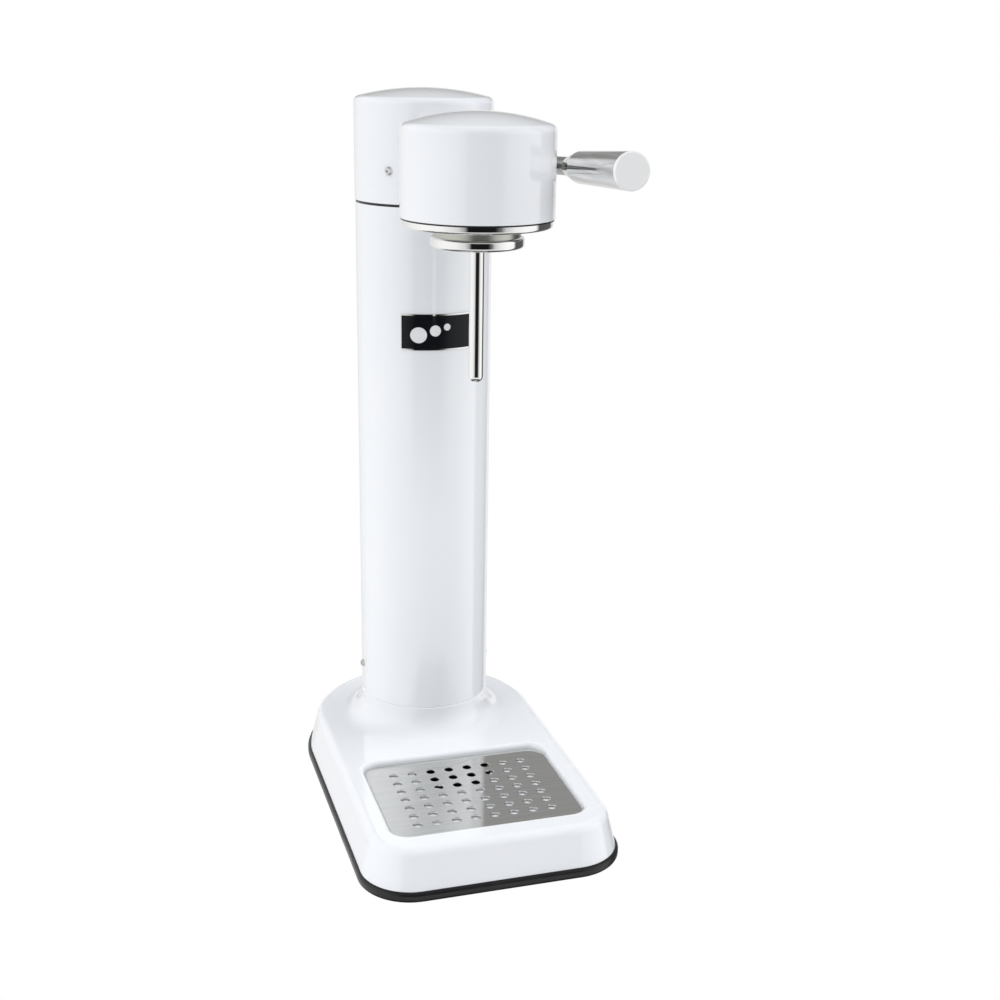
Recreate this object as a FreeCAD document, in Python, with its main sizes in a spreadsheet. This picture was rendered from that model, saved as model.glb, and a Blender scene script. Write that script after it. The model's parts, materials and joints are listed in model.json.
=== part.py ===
"""Counter-top soda carbonator: column, head, side lever, gas cylinder and drip plate.

Millimetres, +Z up, the front faces -Y. The origin is on the table, under the centre of
the footprint. Every driving size is a cell of the Sizes sheet, and each piece of the
machine is an object of its own whose sizes are bound to those cells.
"""
import FreeCAD, Part

import math
import os

import Sketcher
from FreeCAD import Placement, Rotation, Vector

SIZES = {
    # Footprint and base
    "foot_half_width": 76.5,
    "foot_front": 129.0,
    "foot_corner": 30.7,
    "rim_height": 6.3,
    "rim_edge_round": 2.2,
    "rim_lip": 1.8,
    "rim_width": 7.0,
    "housing_draft": 14.0,
    "housing_wall": 3.0,
    "deck_height": 29.0,
    "deck_edge_round": 5.5,
    "flare_round": 14.0,
    "collar_top": 47.0,
    "collar_radius": 40.5,
    "collar_bevel": 0.5,
    "boss_radius": 4.5,
    "boss_thread_depth": 12.0,
    "front_boss_across": 40.0,
    "front_boss_along": 112.5,
    "middle_boss_across": 55.0,
    "back_boss_across": 36.0,
    "back_boss_along": 100.0,
    "floor_plate_low": 2.0,
    "floor_plate_high": 5.0,
    "cylinder_door_radius": 33.5,
    "floor_plate_gap": 0.3,
    "pad_radius": 7.0,
    "front_pad_across": 56.0,
    "front_pad_along": 96.0,
    "back_pad_across": 45.0,
    "back_pad_along": 88.0,
    # Drip plate and its recess
    "plate_half_width": 56.0,
    "plate_half_depth": 44.0,
    "plate_corner": 9.5,
    "plate_top": 25.8,
    "plate_thickness": 0.9,
    "plate_gap": 0.8,
    "ledge_width": 3.5,
    "tray_floor": 24.2,
    "recess_edge_round": 2.8,
    "cup_across": -3.5,
    "cup_along": -31.0,
    "cup_radius": 23.0,
    "cup_bottom": 8.0,
    "cup_wall": 1.2,
    "drip_hole_radius": 2.55,
    "drip_hole_bevel": 0.25,
    "drip_pitch_across": 11.37,
    "drip_pitch_along": 9.95,
    "first_hole_across": 39.8,
    "first_hole_along": 29.85,
    # Column
    "column_y": 52.5,
    "column_radius": 40.2,
    "column_bore": 38.0,
    "column_bevel": 0.3,
    "column_top": 355.4,
    "spigot_radius": 37.8,
    "spigot_bore": 33.5,
    "spigot_overlap": 14.0,
    "collar_flange_width": 10.0,
    "collar_flange_thickness": 3.0,
    "collar_screw_offset": 30.0,
    "collar_thread_depth": 2.0,
    "lower_screw_height": 65.0,
    "top_collar_bore": 35.5,
    "top_collar_reach": 25.0,
    "top_collar_rise": 5.0,
    "frame_ledge_bore": 29.5,
    "frame_ledge_thickness": 3.0,
    "frame_screw_offset": 22.7,
    # Cap and head housing
    "seam_height": 356.9,
    "seam_radius": 39.8,
    "cap_radius": 40.5,
    "cap_bore": 37.9,
    "cap_edge": 414.2,
    "cap_apex": 419.6,
    "dome_radius": 154.6,
    "cap_edge_round": 4.0,
    "dome_edge_round": 4.5,
    "roof_thickness": 3.0,
    "roof_crown": 3.0,
    "head_y": -60.6,
    "head_radius": 40.3,
    "head_bottom": 358.4,
    "head_edge": 404.7,
    "head_apex": 411.5,
    "head_dome_radius": 122.8,
    "bridge_half_width": 20.0,
    "bridge_bottom": 362.0,
    "bridge_top": 399.5,
    "bridge_wall": 3.0,
    "bridge_round": 7.0,
    "bridge_reach": 34.0,
    "cap_screw_height": 375.2,
    "cap_screw_angle": 43.4,
    # Head underside, bottle socket and carbonation tube
    "gasket_radius": 39.9,
    "gasket_bore": 34.1,
    "ring_radius": 39.3,
    "ring_top": 357.5,
    "ring_bottom": 353.7,
    "ring_bore": 18.1,
    "ring_edge_round": 1.4,
    "socket_bottom": 343.2,
    "socket_radius": 24.7,
    "socket_step": 349.0,
    "socket_neck_radius": 22.8,
    "socket_thread_radius": 18.0,
    "socket_bore": 14.9,
    "socket_edge_round": 1.7,
    "seal_thickness": 2.0,
    "seal_bore": 6.95,
    "block_bottom": 359.0,
    "block_top": 376.0,
    "block_flange_radius": 30.1,
    "block_flange_thickness": 3.0,
    "block_port_depth": 10.0,
    "tube_radius": 3.95,
    "tube_bore": 1.6,
    "tube_tip": 271.5,
    "tip_length": 9.0,
    "tip_round": 3.2,
    "tip_hole": 0.5,
    # Relief valve
    "relief_radius": 8.0,
    "relief_bore": 5.0,
    "relief_hole": 2.0,
    "relief_height": 16.0,
    "relief_floor": 3.0,
    "relief_cap_thickness": 3.0,
    "relief_disc_radius": 4.93,
    "relief_disc_thickness": 2.45,
    "relief_stem_radius": 1.83,
    "relief_stem_height": 21.0,
    "relief_spring_radius": 3.3,
    "relief_spring_low": 5.6,
    "relief_spring_high": 15.9,
    "spring_wire": 0.5,
    # Gas cylinder, its valve and receiver
    "cylinder_radius": 30.0,
    "cylinder_bottom": 8.0,
    "cylinder_foot_round": 6.0,
    "cylinder_wall": 3.0,
    "cylinder_floor": 4.0,
    "cylinder_shoulder": 304.0,
    "shoulder_round": 18.0,
    "shoulder_wall": 4.0,
    "cylinder_neck": 12.0,
    "neck_bore": 8.0,
    "neck_top": 328.0,
    "valve_body_radius": 13.0,
    "valve_body_top": 346.0,
    "valve_thread_radius": 10.5,
    "valve_top": 362.0,
    "valve_mouth_radius": 6.0,
    "valve_mouth_depth": 7.0,
    "valve_pin_radius": 2.0,
    "valve_pin_low": 334.0,
    "valve_pin_high": 361.5,
    "receiver_radius": 19.0,
    "receiver_bottom": 348.0,
    "receiver_flange_radius": 24.0,
    "receiver_flange_top": 373.0,
    "receiver_port_depth": 6.0,
    "face_seal_low": 362.3,
    "face_seal_high": 363.7,
    "gas_chamber_radius": 7.0,
    "gland_radius": 7.5,
    "gland_top": 376.0,
    "frame_low": 366.0,
    "frame_high": 369.0,
    "frame_radius": 35.2,
    "frame_head_radius": 31.5,
    "frame_web_half_width": 15.0,
    "actuator_radius": 3.0,
    "actuator_low": 361.9,
    # Lever and valve drive
    "shaft_y": -3.6,
    "shaft_z": 379.6,
    "rod_radius": 4.95,
    "lever_reach": 62.0,
    "lever_bend": 7.0,
    "lever_rise": 2.9,
    "flare_start": 25.0,
    "grip_start": 42.5,
    "grip_end": 113.8,
    "grip_near_radius": 8.55,
    "grip_far_radius": 9.65,
    "neck_lip": 0.5,
    "shoulder_bevel": 0.4,
    "shoulder_run": 2.5,
    "rod_in_grip": 18.0,
    "end_cap_thickness": 1.2,
    "end_cap_bevel": 0.8,
    "crank_run": 9.66,
    "crank_rise": 2.59,
    "crank_pin_radius": 2.5,
    "crank_hub_radius": 8.0,
    "crank_tip_radius": 4.6,
    "crank_inner": 4.0,
    "crank_outer": 10.0,
    "shaft_clip_radius": 7.6,
    "shaft_clip_gap": 0.2,
    "shaft_clip_thickness": 1.2,
    "bush_inner_end": 12.0,
    "bush_radius": 8.0,
    "bush_flange_radius": 10.5,
    "bush_flange_thickness": 2.0,
    "yoke_half_width": 3.0,
    "yoke_low": 386.5,
    "yoke_high": 393.5,
    "yoke_hub_radius": 6.5,
    "tongue_front": -19.6,
    "tongue_back": -7.6,
    "tongue_low": 376.6,
    "slot_fit": 0.08,
    "slot_half_travel": 0.4,
    "slot_shift": 0.17,
    "guide_y": 14.0,
    "guide_radius": 2.5,
    "guide_hub_radius": 6.0,
    "valve_spring_radius": 5.2,
    # Gas hose
    "hose_offset": 11.0,
    "hose_setback": 8.0,
    "hose_radius": 3.2,
    "hose_bore": 2.0,
    "hose_run_height": 392.5,
    "hose_bend": 9.0,
    "hose_end": 380.5,
    "fitting_radius": 4.5,
    "fitting_bore": 1.0,
    "fitting_height": 4.0,
    "barb_top": 383.4,
    "hose_clip_low": 380.8,
    "hose_clip_high": 382.8,
    "hose_clip_wall": 0.8,
    # Badge
    "badge_low": 274.5,
    "badge_high": 295.5,
    "badge_angle": 67.0,
    "badge_border": 0.9,
    "badge_frame_face": 0.5,
    "badge_plate_back": 0.51,
    "badge_plate_face": 0.9,
    "bubble_back": 0.91,
    "bubble_face": 1.1,
    # Fasteners
    "screw_shank": 1.5,
    "screw_hole": 1.55,
    "button_radius": 2.5,
    "button_height": 1.5,
    "button_bevel": 0.9,
    "hex_depth": 1.0,
    "hex_half_flat": 0.8,
    "hex_half_side": 0.462,
    "hex_side": 0.924,
    "floor_screw_length": 12.0,
    "collar_screw_length": 4.8,
    "side_screw_length": 6.0,
    "frame_screw_length": 5.5,
    # Fits, and how far joined lumps and cuts run past a surface
    "press_fit": 0.02,
    "running_fit": 0.05,
    "loose_fit": 0.1,
    "bore_end_gap": 0.2,
    "overlap": 2.0,
    "cut_margin": 1.0,
}

RELIEF_SPRING_TURNS = 5
VALVE_SPRING_TURNS = 4
HOLES_ACROSS = 8
HOLES_ALONG = 7
BEVEL_ANGLE = 44.0
# Badge bubbles: distance to the right of the middle, height above the badge's foot, radius
BUBBLES = ((-13.0, 9.0, 4.6), (-3.5, 11.5, 3.2), (3.5, 13.5, 2.0))
LEVEL_TOLERANCE = 0.02

UP = Vector(0, 0, 1)
DOWN = Vector(0, 0, -1)
FORWARD = Vector(0, -1, 0)
RIGHT = Vector(1, 0, 0)
LEFT = Vector(-1, 0, 0)

doc = FreeCAD.newDocument("soda_carbonator")
sheet = doc.addObject("Spreadsheet::Sheet", "Sizes")
for row, (alias, number) in enumerate(SIZES.items(), start=1):
    sheet.set(f"A{row}", alias)
    sheet.set(f"B{row}", str(number))
    sheet.setAlias(f"B{row}", alias)
doc.recompute()

subparts = []


# ---------------------------------------------------------------- sizes as text


def amount(text):
    """Work out a chain of sizes such as "column_y - housing_wall"."""
    total = 0.0
    sign = 1.0
    for word in text.split():
        if word in ("+", "-"):
            sign = 1.0 if word == "+" else -1.0
        else:
            total += sign * (SIZES[word] if word in SIZES else float(word))
            sign = 1.0
    return total


def formula(text):
    """The same chain as an expression on the sheet."""
    words = [f"Sizes.{word}" if word in SIZES else word for word in text.split()]
    return " ".join(words).removeprefix("+ ")


def minus(text):
    """The chain with every sign turned round, ready to follow another chain."""
    words = text.split()
    if words[0] not in ("+", "-"):
        words.insert(0, "+")
    turned_round = {"+": "-", "-": "+"}
    return " ".join(turned_round.get(word, word) for word in words)


# ---------------------------------------------------------------- sketches


def sketch_on(body, plane, height="0", turn=0.0):
    """A sketch on the body's "XY", "XZ" or "YZ" plane, moved along the plane's normal.

    The normals are +Z, -Y and +X. A turn swings the sketch about its own upright axis.
    """
    support = next(item for item in body.Origin.OriginFeatures if item.Role == f"{plane}_Plane")
    sketch = body.newObject("Sketcher::SketchObject", f"{body.Name}_sketch")
    sketch.AttachmentSupport = (support, [""])
    sketch.MapMode = "FlatFace"
    sketch.AttachmentOffset = Placement(Vector(0, 0, amount(height)), Rotation(Vector(0, 1, 0), turn))
    sketch.setExpression("AttachmentOffset.Base.z", formula(height))
    return sketch


def hold_point(sketch, geometry, end, across, along):
    """Fix one point of a sketch to its place, each coordinate bound to the sheet."""
    for kind, axis, text in (("DistanceX", -2, across), ("DistanceY", -1, along)):
        if amount(text) == 0:
            sketch.addConstraint(Sketcher.Constraint("PointOnObject", geometry, end, axis))
            continue
        index = sketch.addConstraint(Sketcher.Constraint(kind, -1, 1, geometry, end, amount(text)))
        sketch.setExpression(f"Constraints[{index}]", formula(text))


def hold_radius(sketch, geometry, radius):
    index = sketch.addConstraint(Sketcher.Constraint("Radius", geometry, amount(radius)))
    sketch.setExpression(f"Constraints[{index}]", formula(radius))


def circle(sketch, across, along, radius):
    shape = Part.Circle(Vector(amount(across), amount(along), 0), UP, amount(radius))
    index = sketch.addGeometry(shape)
    hold_point(sketch, index, 3, across, along)
    hold_radius(sketch, index, radius)


def arc_between(begin, end, radius, turn):
    """The short arc from begin to end that bends left (turn 1) or right (turn -1)."""
    chord = end - begin
    side = Vector(-chord.y, chord.x, 0).normalize()
    middle = (begin + end) * 0.5
    centre = middle + side * turn * math.sqrt(radius**2 - (chord.Length / 2) ** 2)
    first, last = (begin, end) if turn > 0 else (end, begin)
    angles = [math.atan2(point.y - centre.y, point.x - centre.x) for point in (first, last)]
    return Part.ArcOfCircle(Part.Circle(centre, UP, radius), *angles)


def outline(sketch, corners, closed=True):
    """Join corners in turn by straight sides.

    A corner is (across, along), or (across, along, radius, turn) when the side that
    arrives at it is an arc.
    """
    points = [Vector(amount(corner[0]), amount(corner[1]), 0) for corner in corners]
    sides = []
    for number in range(0 if closed else 1, len(corners)):
        begin, end = points[number - 1], points[number]
        if len(corners[number]) == 2:
            index = sketch.addGeometry(Part.LineSegment(begin, end))
            sides.append((index, 1, 2, corners[number - 1]))
            continue
        radius, turn = corners[number][2:]
        index = sketch.addGeometry(arc_between(begin, end, amount(radius), turn))
        hold_radius(sketch, index, radius)
        starts, stops = (1, 2) if turn > 0 else (2, 1)
        sides.append((index, starts, stops, corners[number - 1]))
    for number, (index, starts, _, corner) in enumerate(sides):
        hold_point(sketch, index, starts, corner[0], corner[1])
        if number or closed:
            before = sides[number - 1]
            sketch.addConstraint(Sketcher.Constraint("Coincident", before[0], before[2], index, starts))
    if not closed:
        index, _, stops, _ = sides[-1]
        hold_point(sketch, index, stops, corners[-1][0], corners[-1][1])


def footprint(sketch, inset):
    """The base outline, drawn in by inset: straight front and sides, half-round back."""
    right = f"foot_half_width {minus(inset)}"
    left = minus(right)
    front = f"{inset} - foot_front"
    corner = f"foot_corner {minus(inset)}"
    outline(sketch, [
        (left, "foot_corner - foot_front"),
        ("foot_corner - foot_half_width", front, corner, 1),
        ("foot_half_width - foot_corner", front),
        (right, "foot_corner - foot_front", corner, 1),
        (right, "column_y"),
        ("0", f"column_y + {right}", right, 1),
        (left, "column_y", right, 1),
    ])


def rounded_rectangle(sketch, half_width, half_depth, middle, corner):
    """A rectangle with rounded corners, its centre at (0, middle)."""
    right, left = half_width, minus(half_width)
    front = f"{middle} {minus(half_depth)}"
    back = f"{middle} + {half_depth}"
    outline(sketch, [
        (f"{right} {minus(corner)}", front),
        (right, f"{front} + {corner}", corner, 1),
        (right, f"{back} {minus(corner)}"),
        (f"{right} {minus(corner)}", back, corner, 1),
        (f"{left} + {corner}", back),
        (left, f"{back} {minus(corner)}", corner, 1),
        (left, f"{front} + {corner}"),
        (f"{left} + {corner}", front, corner, 1),
    ])


# ---------------------------------------------------------------- features


def new_body(name, at=("0", "0", "0"), along=UP, spin=0.0):
    """A body whose own Z axis points along the given direction, turned about it by spin."""
    body = doc.addObject("PartDesign::Body", name)
    body.Label = name
    body.Placement = Placement(Vector(0, 0, 0), Rotation(UP, along) * Rotation(UP, spin))
    for axis, text in zip("xyz", at):
        body.setExpression(f"Placement.Base.{axis}", formula(text))
    return body


def settled(feature):
    """Recompute, and stop at once if the feature could not be made."""
    doc.recompute()
    if "Invalid" in feature.State or "Error" in feature.State or feature.Shape.isNull():
        raise ValueError(f"{feature.Name} could not be made: {feature.getStatusString()}")
    return feature


def pad(body, sketch, length, draft=None, both_ways=False):
    feature = body.newObject("PartDesign::Pad", f"{body.Name}_pad")
    feature.Profile = sketch
    feature.Midplane = both_ways
    feature.setExpression("Length", formula(length))
    if draft:
        feature.setExpression("TaperAngle", formula(draft))
    return settled(feature)


def checked_cut(body, feature, before):
    """A cut that points away from the solid removes nothing, so compare the volumes."""
    if settled(feature).Shape.Volume > before - 1e-3:
        raise ValueError(f"{feature.Name} of {body.Label} removes nothing")
    return feature


def pocket(body, sketch, depth, upward=False):
    """Cut against the sketch's normal, or along it when upward."""
    doc.recompute()
    before = body.Tip.Shape.Volume
    feature = body.newObject("PartDesign::Pocket", f"{body.Name}_pocket")
    feature.Profile = sketch
    feature.Reversed = upward
    feature.setExpression("Length", formula(depth))
    return checked_cut(body, feature, before)


def revolve(body, sketch, angle=None):
    """Turn the sketch about its upright axis, all the way or to both sides of itself."""
    feature = body.newObject("PartDesign::Revolution", f"{body.Name}_turned")
    feature.Profile = sketch
    feature.ReferenceAxis = (sketch, ["V_Axis"])
    feature.Angle = 360.0
    if angle:
        feature.setExpression("Angle", formula(angle))
        feature.Midplane = True
    return settled(feature)


def groove(body, sketch):
    doc.recompute()
    before = body.Tip.Shape.Volume
    feature = body.newObject("PartDesign::Groove", f"{body.Name}_groove")
    feature.Profile = sketch
    feature.ReferenceAxis = (sketch, ["V_Axis"])
    feature.Angle = 360.0
    return checked_cut(body, feature, before)


def round_edges(body, radius, wanted):
    """Fillet the edges of the solid so far for which wanted(edge) holds."""
    doc.recompute()
    edges = body.Tip.Shape.Edges
    names = [f"Edge{number}" for number, edge in enumerate(edges, start=1) if wanted(edge)]
    if not names:
        raise ValueError(f"no edge of {body.Label} to round")
    solid = body.Tip
    feature = body.newObject("PartDesign::Fillet", f"{body.Name}_fillet")
    feature.Base = (solid, names)
    feature.setExpression("Radius", formula(radius))
    return settled(feature)


def flat_at(height):
    """A test for edges that lie level at the given height."""
    def wanted(edge):
        box = edge.BoundBox
        return max(abs(box.ZMin - height), abs(box.ZMax - height)) < LEVEL_TOLERANCE
    return wanted


def outer_circle(radius, height):
    """A test for the level edge of the given radius at the given height."""
    def wanted(edge):
        return flat_at(height)(edge) and abs(edge.BoundBox.XMax - radius) < LEVEL_TOLERANCE
    return wanted


def mirrored(across, along):
    """The place and its twin on the other side of the machine."""
    return [(across, along), (minus(across), along)]


def keep(piece):
    """Mark a finished object as one of the machine's pieces."""
    subparts.append(piece)
    return piece


def turned(name, corners, at=("0", "0", "0"), along=UP):
    """A piece turned about its own Z axis from a half profile of (radius, height) corners."""
    body = new_body(name, at, along)
    sketch = sketch_on(body, "XZ")
    outline(sketch, corners)
    revolve(body, sketch)
    return body


def ring(name, outer, inner, low, high, at=("0", "0", "0"), along=UP):
    """A plain ring or tube."""
    corners = [(inner, low), (outer, low), (outer, high), (inner, high)]
    return turned(name, corners, at, along)


def rod(name, radius, low, high, at=("0", "0", "0"), along=UP):
    """A plain round bar."""
    return turned(name, [("0", low), (radius, low), (radius, high), ("0", high)], at, along)


def group(name, members):
    """Several alike pieces kept as one node of separate solids."""
    compound = doc.addObject("Part::Compound", name)
    compound.Label = name
    compound.Links = members
    return keep(compound)


def wire_spring(name, axis_y, low, high, coil_radius, turns):
    """A coil spring of wire from low to high about the upright axis at axis_y."""
    wire = amount("spring_wire")
    rise = amount(high) - amount(low) - 2 * wire
    path = Part.makeHelix(rise / turns, rise, amount(coil_radius))
    section = Part.Circle(Vector(amount(coil_radius), 0, 0), Vector(0, 1, 0), wire).toShape()
    coil = Part.Wire(path).makePipeShell([Part.Wire(section)], True, True)
    spring = doc.addObject("Part::Feature", name)
    spring.Label = name
    spring.Shape = coil
    spring.Placement = Placement(Vector(0, amount(axis_y), amount(low) + wire), Rotation())
    return keep(spring)


COLUMN_AXIS = ("0", "column_y", "0")
HEAD_AXIS = ("0", "head_y", "0")


# ---------------------------------------------------------------- fasteners


def button_screw(name, seat, length, at, along):
    """A button-head screw with a hex socket; seat is how far out the head's underside is."""
    top = f"{seat} + button_height"
    body = turned(name, [
        ("0", f"{seat} - {length}"),
        ("screw_shank", f"{seat} - {length}"),
        ("screw_shank", seat),
        ("button_radius", seat),
        ("button_radius - button_bevel", top),
        ("0", top),
    ], at, along)
    socket = sketch_on(body, "XY", top)
    outline(socket, [
        ("hex_half_flat", "hex_half_side"),
        ("0", "hex_side"),
        ("- hex_half_flat", "hex_half_side"),
        ("- hex_half_flat", "- hex_half_side"),
        ("0", "- hex_side"),
        ("hex_half_flat", "- hex_half_side"),
    ])
    pocket(body, socket, "hex_depth")
    return body


def screws(name, places, seat, length, along):
    """One node of identical screws, one at each (x, y, z)."""
    members = [
        button_screw(f"{name}_{number}", seat, length, at, along)
        for number, at in enumerate(places, start=1)
    ]
    return group(name, members)


# ---------------------------------------------------------------- base


BOSS_PLACES = (
    mirrored("front_boss_across", "- front_boss_along")
    + mirrored("middle_boss_across", "0")
    + mirrored("back_boss_across", "back_boss_along")
)
PAD_PLACES = (
    mirrored("front_pad_across", "- front_pad_along")
    + mirrored("back_pad_across", "back_pad_along")
)
COLLAR_SCREW_PLACES = (
    mirrored("collar_screw_offset", "column_y - collar_screw_offset")
    + mirrored("collar_screw_offset", "column_y + collar_screw_offset")
)


def make_base_rim():
    """Soft black rim that the white housing stands on and that touches the table."""
    body = new_body("base_rim")
    outer = sketch_on(body, "XY")
    footprint(outer, "0")
    pad(body, outer, "rim_height")
    round_edges(body, "rim_edge_round", flat_at(amount("rim_height")))
    round_edges(body, "rim_edge_round", flat_at(0))
    inner = sketch_on(body, "XY", "rim_height")
    footprint(inner, "rim_width")
    pocket(body, inner, "rim_height")
    return keep(body)


def make_base_housing():
    """White housing: drafted walls, level deck, flare up to the column, shallow drip tray."""
    body = new_body("base_housing")
    outer = sketch_on(body, "XY", "rim_height")
    footprint(outer, "rim_lip")
    pad(body, outer, "deck_height - rim_height", draft="- housing_draft")
    round_edges(body, "deck_edge_round", flat_at(amount("deck_height")))

    flare = sketch_on(body, "XZ", "- column_y")
    outline(flare, [
        ("column_bore", "deck_height - overlap"),
        ("collar_radius + flare_round", "deck_height - overlap"),
        ("collar_radius + flare_round", "deck_height"),
        ("collar_radius", "deck_height + flare_round", "flare_round", -1),
        ("collar_radius", "collar_top - collar_bevel"),
        ("collar_radius - collar_bevel", "collar_top"),
        ("column_bore", "collar_top"),
    ])
    revolve(body, flare)

    hollow = sketch_on(body, "XY", "rim_height")
    footprint(hollow, "rim_lip + housing_wall")
    cut = pocket(body, hollow, "deck_height - housing_wall - rim_height", upward=True)
    cut.setExpression("TaperAngle", formula("- housing_draft"))

    way_through = sketch_on(body, "XY", "collar_top")
    circle(way_through, "0", "column_y", "column_bore")
    pocket(body, way_through, "collar_top - rim_height")

    bosses = sketch_on(body, "XY", "floor_plate_high")
    for across, along in BOSS_PLACES:
        circle(bosses, across, along, "boss_radius")
    pad(body, bosses, "deck_height - overlap - floor_plate_high")

    trough = sketch_on(body, "XY", "tray_floor - housing_wall")
    rounded_rectangle(
        trough,
        "plate_half_width + plate_gap + housing_wall",
        "plate_half_depth + plate_gap + housing_wall",
        "head_y",
        "plate_corner + plate_gap + housing_wall",
    )
    pad(body, trough, "deck_height - overlap - tray_floor + housing_wall")

    seat = sketch_on(body, "XY", "deck_height")
    rounded_rectangle(
        seat,
        "plate_half_width + plate_gap",
        "plate_half_depth + plate_gap",
        "head_y",
        "plate_corner + plate_gap",
    )
    pocket(body, seat, "deck_height - plate_top + plate_thickness")
    round_edges(body, "recess_edge_round", is_recess_mouth)

    tray = sketch_on(body, "XY", "deck_height")
    rounded_rectangle(
        tray,
        "plate_half_width - ledge_width",
        "plate_half_depth - ledge_width",
        "head_y",
        "plate_corner - ledge_width",
    )
    pocket(body, tray, "deck_height - tray_floor")

    cup_hole = sketch_on(body, "XY", "tray_floor")
    circle(cup_hole, "cup_across", "cup_along", "cup_radius")
    pocket(body, cup_hole, "housing_wall")

    threads = sketch_on(body, "XY", "floor_plate_high")
    for across, along in BOSS_PLACES:
        circle(threads, across, along, "screw_hole")
    pocket(body, threads, "boss_thread_depth", upward=True)
    collar_threads = sketch_on(body, "XY", "deck_height - housing_wall")
    for across, along in COLLAR_SCREW_PLACES:
        circle(collar_threads, across, along, "screw_hole")
    pocket(body, collar_threads, "collar_thread_depth", upward=True)
    return keep(body)


def is_recess_mouth(edge):
    """True for the level edges round the drip recess at deck height."""
    box = edge.BoundBox
    inside = max(abs(box.XMin), abs(box.XMax)) < amount("plate_half_width + plate_gap + loose_fit")
    from_middle = abs(edge.CenterOfMass.y - amount("head_y"))
    near_plate = from_middle < amount("plate_half_depth + plate_gap + loose_fit")
    return inside and near_plate and flat_at(amount("deck_height"))(edge)


def make_floor_plate():
    """Black plate that closes the base, with the round opening for the gas cylinder."""
    body = new_body("floor_plate")
    sketch = sketch_on(body, "XY", "floor_plate_low")
    footprint(sketch, "rim_width + floor_plate_gap")
    circle(sketch, "0", "column_y", "cylinder_door_radius")
    for across, along in BOSS_PLACES:
        circle(sketch, across, along, "screw_hole")
    pad(body, sketch, "floor_plate_high - floor_plate_low")
    return keep(body)


def make_base_fittings():
    """Rubber pads under the floor plate, and the screws that hold it."""
    pads = [
        rod(f"foot_pad_{number}", "pad_radius", "0", "floor_plate_low", (across, along, "0"))
        for number, (across, along) in enumerate(PAD_PLACES, start=1)
    ]
    group("foot_pads", pads)
    places = [(across, along, "floor_plate_low") for across, along in BOSS_PLACES]
    screws("floor_screws", places, "0", "floor_screw_length", DOWN)


def make_drip_plate():
    """Loose perforated steel plate that the glass stands on."""
    body = new_body("drip_plate", ("0", "head_y", "0"))
    sketch = sketch_on(body, "XY", "plate_top - plate_thickness")
    rounded_rectangle(sketch, "plate_half_width", "plate_half_depth", "0", "plate_corner")
    pad(body, sketch, "plate_thickness")
    hole = sketch_on(body, "XY", "plate_top")
    circle(hole, "- first_hole_across", "- first_hole_along", "drip_hole_radius")
    first = pocket(body, hole, "plate_thickness")
    mouth = sketch_on(body, "XY", "plate_top")
    circle(mouth, "- first_hole_across", "- first_hole_along", "drip_hole_radius + drip_hole_bevel")
    bevel = pocket(body, mouth, "drip_hole_bevel")
    bevel.TaperAngle = -BEVEL_ANGLE

    rows = body.newObject("PartDesign::MultiTransform", "drip_hole_rows")
    rows.Originals = [first, bevel]
    across = body.newObject("PartDesign::LinearPattern", "holes_across")
    along = body.newObject("PartDesign::LinearPattern", "holes_along")
    across.Direction = (hole, ["H_Axis"])
    along.Direction = (hole, ["V_Axis"])
    across.Occurrences = HOLES_ACROSS
    along.Occurrences = HOLES_ALONG
    across.setExpression("Length", f"Sizes.drip_pitch_across * {HOLES_ACROSS - 1}")
    along.setExpression("Length", f"Sizes.drip_pitch_along * {HOLES_ALONG - 1}")
    rows.Transformations = [across, along]
    body.Tip = rows
    return keep(body)


def make_drip_cup():
    """Black cup under the back of the plate that collects the drips."""
    keep(turned("drip_cup", [
        ("0", "cup_bottom"),
        ("cup_radius - press_fit", "cup_bottom"),
        ("cup_radius - press_fit", "tray_floor"),
        ("cup_radius - cup_wall", "tray_floor"),
        ("cup_radius - cup_wall", "cup_bottom + cup_wall"),
        ("0", "cup_bottom + cup_wall"),
    ], ("cup_across", "cup_along", "0")))


# ---------------------------------------------------------------- column


def make_column():
    """White tube with one screw hole on each side near its foot."""
    body = turned("column_tube", [
        ("column_bore", "collar_top"),
        ("column_radius - column_bevel", "collar_top"),
        ("column_radius", "collar_top + column_bevel"),
        ("column_radius", "column_top"),
        ("column_bore", "column_top"),
    ], COLUMN_AXIS)
    side_holes(body)
    keep(body)
    keep(ring("column_gasket", "seam_radius", "column_bore", "column_top", "seam_height", COLUMN_AXIS))


def side_holes(body):
    """Drill the left and the right wall of a tube at the height of the lower screws."""
    for turn in (90, -90):
        hole = sketch_on(body, "XZ", turn=turn)
        circle(hole, "0", "lower_screw_height", "screw_hole")
        pocket(body, hole, "column_radius + cut_margin", upward=True)


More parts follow.
